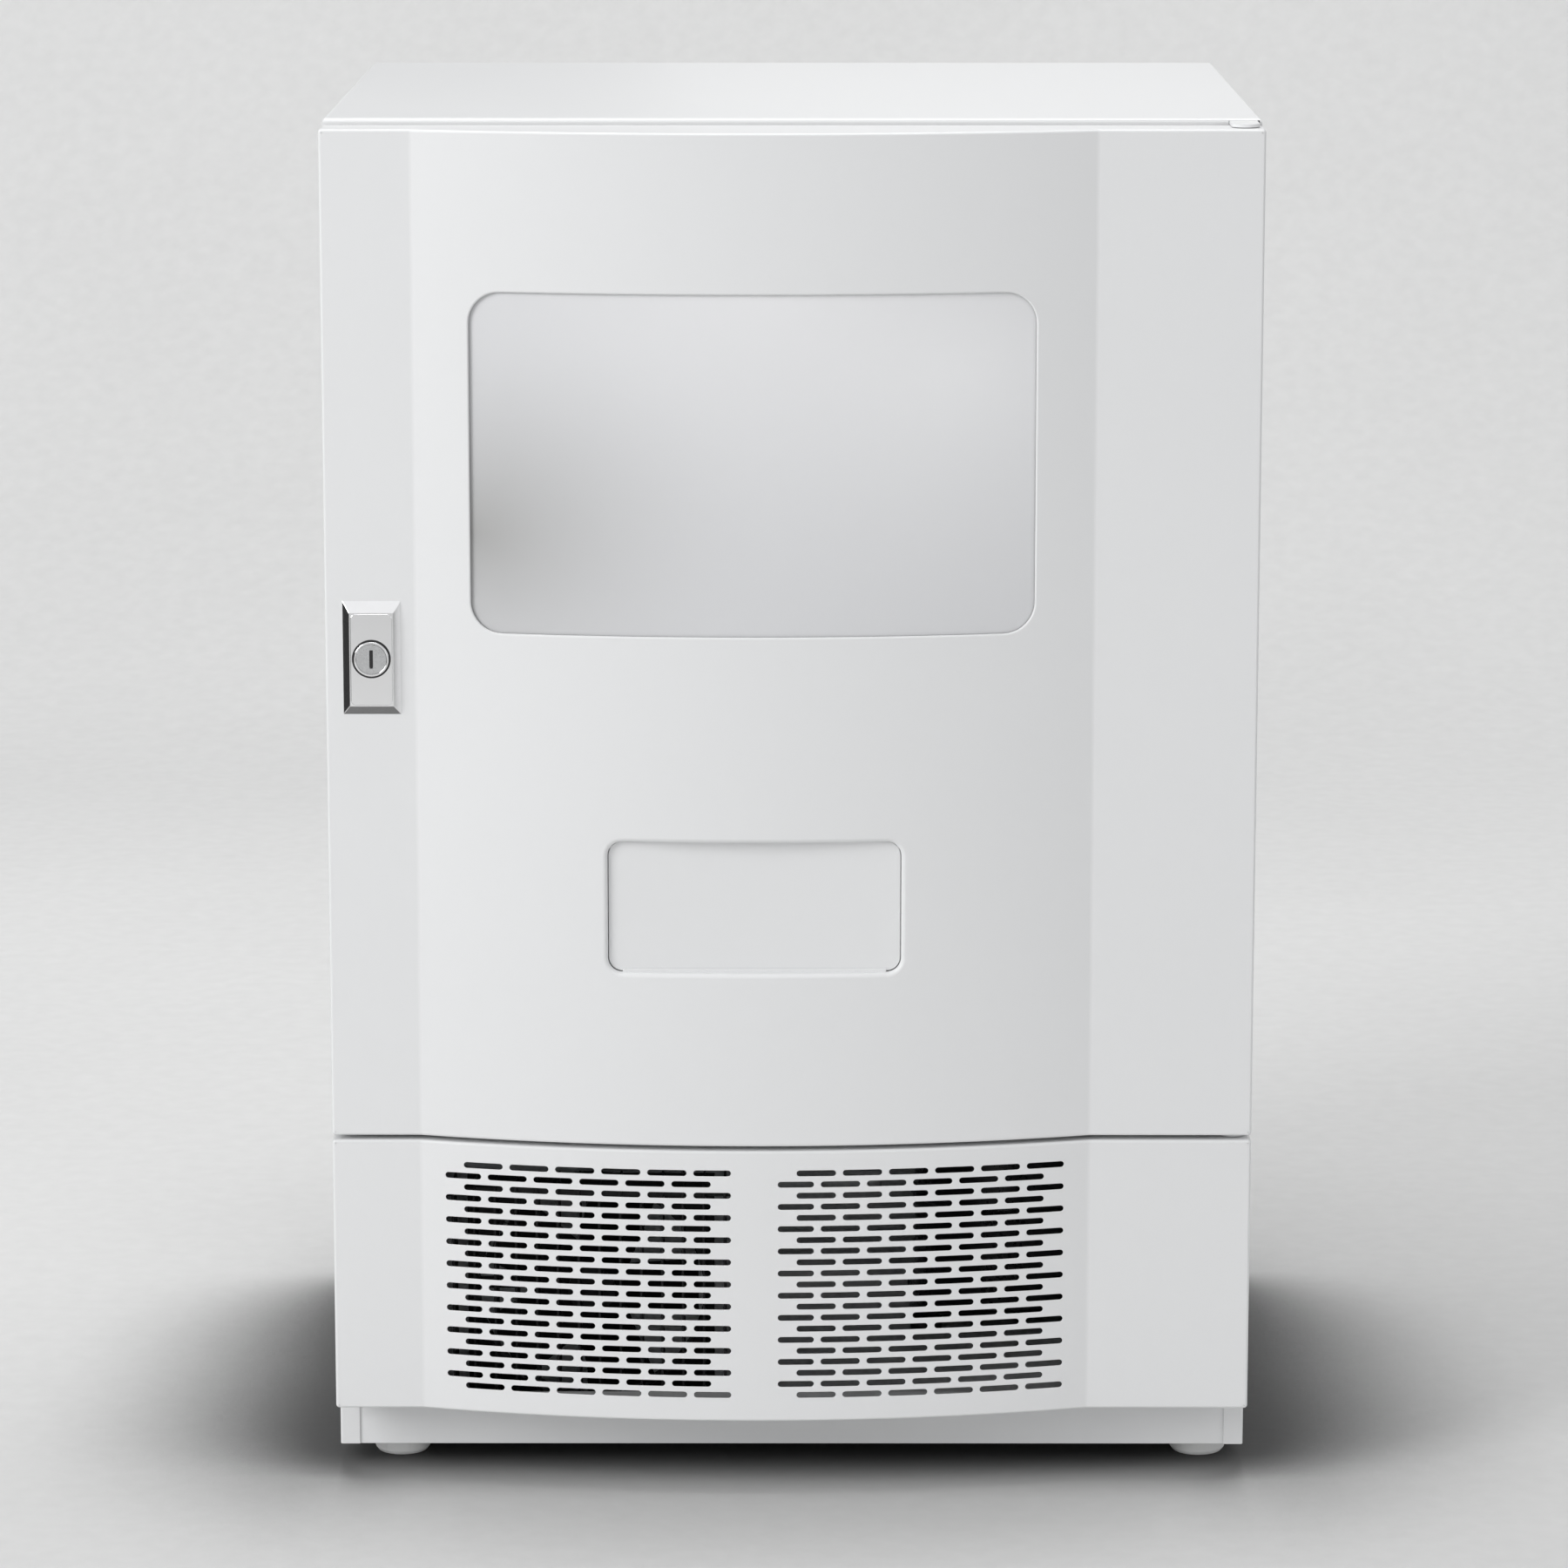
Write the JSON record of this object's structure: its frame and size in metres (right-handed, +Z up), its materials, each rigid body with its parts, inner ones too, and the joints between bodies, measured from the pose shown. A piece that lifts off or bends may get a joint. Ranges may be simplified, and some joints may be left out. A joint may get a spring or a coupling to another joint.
{
  "type": "vending machine",
  "caption": "Chilled vending machine with a bowed front: a hinged main door with frosted window, lock and delivery flap stands above a hinged air grille door.",
  "frame": {"origin": "on the floor, under the middle of the machine's outer box", "axes": "+X to the right as seen from the front, +Y to the rear, +Z up"},
  "size_m": [0.6, 0.542, 0.894],
  "materials": {
    "casing_paint": "white satin powder coat",
    "door_white": "white satin moulding",
    "bare_steel": "galvanised sheet",
    "tray_wire": "bright plated wire with a moulded hub",
    "lock_chrome": "polished",
    "foam": "rigid foam",
    "liner_white": "satin",
    "frosted_pane": "frosted",
    "clear_glass": "clear",
    "white_rubber": "soft matt",
    "black_rubber": "soft matt",
    "grey_plastic": "matt",
    "black_plastic": "matt",
    "foot_white": "satin pad on a plated stem",
    "diffuser": "milky",
    "fins": "bare",
    "compressor_black": "black enamel"
  },
  "bodies": {
    "cabinet": {"base_deck": "bare_steel", "base_pan": "casing_paint", "top_hinge": "casing_paint", "middle_hinge": "casing_paint", "bottom_hinge": "casing_paint", "cabinet_insulation": "foam", "inner_liner": "liner_white", "front_frame": "liner_white", "strike_box": "bare_steel", "left_side_panel": "casing_paint", "right_side_panel": "casing_paint", "top_panel": "casing_paint", "rear_panel": "bare_steel", "rear_vent_panel": "bare_steel", "power_inlet": "black_plastic", "service_column": "casing_paint", "control_box": "grey_plastic", "delivery_bin": "grey_plastic", "upper_tray": "bare_steel", "lower_tray": "bare_steel", "tray_runners": "bare_steel", "spiral_motors": "black_plastic", "light_bar": "diffuser", "cooling_cover": "liner_white", "cooling_coil": "fins", "fan_motors": "black_plastic", "condenser": "fins", "fan_shroud": "black_plastic", "compressor": "compressor_black", "compressor_mounts": "black_rubber"},
    "door": {"door_skin": "door_white", "door_core": "foam", "door_liner": "liner_white", "door_gasket": "white_rubber", "door_bushes": "grey_plastic", "window_seal": "black_rubber", "window_pane": "frosted_pane", "window_frame": "door_white", "inner_glass": "clear_glass", "delivery_surround": "door_white", "lock_escutcheon": "lock_chrome", "lock_barrel": "lock_chrome"},
    "grille_door": {"grille_door": "door_white", "grille_bushes": "grey_plastic", "grille_magnet": "black_rubber"},
    "delivery_flap": {"delivery_flap": "door_white"},
    "lock": {"lock_plug": "lock_chrome", "lock_cam": "bare_steel"},
    "cooling_fan": {"cooling_fan": "black_plastic"},
    "condenser_fan": {"condenser_fan": "black_plastic"},
    "spiral_1": {"spiral_1": "tray_wire"},
    "spiral_2": {"spiral_2": "tray_wire"},
    "spiral_3": {"spiral_3": "tray_wire"},
    "spiral_4": {"spiral_4": "tray_wire"},
    "spiral_5": {"spiral_5": "tray_wire"},
    "spiral_6": {"spiral_6": "tray_wire"},
    "front_left_foot": {"front_left_foot": "foot_white"},
    "front_right_foot": {"front_right_foot": "foot_white"},
    "rear_left_foot": {"rear_left_foot": "foot_white"},
    "rear_right_foot": {"rear_right_foot": "foot_white"}
  },
  "joints": [
    {"name": "door_hinge", "type": "hinge", "parent": "cabinet", "child": "door", "pos_m": [0.288, -0.225, 0], "axis": [0, 0, 1], "range_deg": [0, 110]},
    {"name": "grille_hinge", "type": "hinge", "parent": "cabinet", "child": "grille_door", "pos_m": [0.288, -0.225, 0], "axis": [0, 0, 1], "range_deg": [0, 100]},
    {"name": "flap_hinge", "type": "hinge", "parent": "door", "child": "delivery_flap", "pos_m": [-0.024, -0.25972, 0.431], "axis": [1, 0, 0], "range_deg": [0, 70]},
    {"name": "lock_turn", "type": "hinge", "parent": "door", "child": "lock", "pos_m": [-0.27, -0.225, 0.551], "axis": [0, -1, 0], "range_deg": [0, 90]},
    {"name": "cooling_fan_spin", "type": "hinge", "parent": "cabinet", "child": "cooling_fan", "pos_m": [-0.0485, 0.096, 0.82], "axis": [0, 0, 1], "continuous": true},
    {"name": "condenser_fan_spin", "type": "hinge", "parent": "cabinet", "child": "condenser_fan", "pos_m": [-0.135, -0.12, 0.0985], "axis": [0, 1, 0], "continuous": true},
    {"name": "spiral_1_turn", "type": "hinge", "parent": "cabinet", "child": "spiral_1", "pos_m": [-0.1835, 0, 0.6973], "axis": [0, 1, 0], "continuous": true},
    {"name": "spiral_2_turn", "type": "hinge", "parent": "cabinet", "child": "spiral_2", "pos_m": [-0.0485, 0, 0.6973], "axis": [0, 1, 0], "continuous": true},
    {"name": "spiral_3_turn", "type": "hinge", "parent": "cabinet", "child": "spiral_3", "pos_m": [0.0865, 0, 0.6973], "axis": [0, 1, 0], "continuous": true},
    {"name": "spiral_4_turn", "type": "hinge", "parent": "cabinet", "child": "spiral_4", "pos_m": [-0.1835, 0, 0.53585], "axis": [0, 1, 0], "continuous": true},
    {"name": "spiral_5_turn", "type": "hinge", "parent": "cabinet", "child": "spiral_5", "pos_m": [-0.0485, 0, 0.53585], "axis": [0, 1, 0], "continuous": true},
    {"name": "spiral_6_turn", "type": "hinge", "parent": "cabinet", "child": "spiral_6", "pos_m": [0.0865, 0, 0.53585], "axis": [0, 1, 0], "continuous": true},
    {"name": "front_left_foot_level", "type": "slide", "parent": "cabinet", "child": "front_left_foot", "axis": [0, 0, -1], "range_m": [0, 0.012]},
    {"name": "front_right_foot_level", "type": "slide", "parent": "cabinet", "child": "front_right_foot", "axis": [0, 0, -1], "range_m": [0, 0.012]},
    {"name": "rear_left_foot_level", "type": "slide", "parent": "cabinet", "child": "rear_left_foot", "axis": [0, 0, -1], "range_m": [0, 0.012]},
    {"name": "rear_right_foot_level", "type": "slide", "parent": "cabinet", "child": "rear_right_foot", "axis": [0, 0, -1], "range_m": [0, 0.012]}
  ]
}
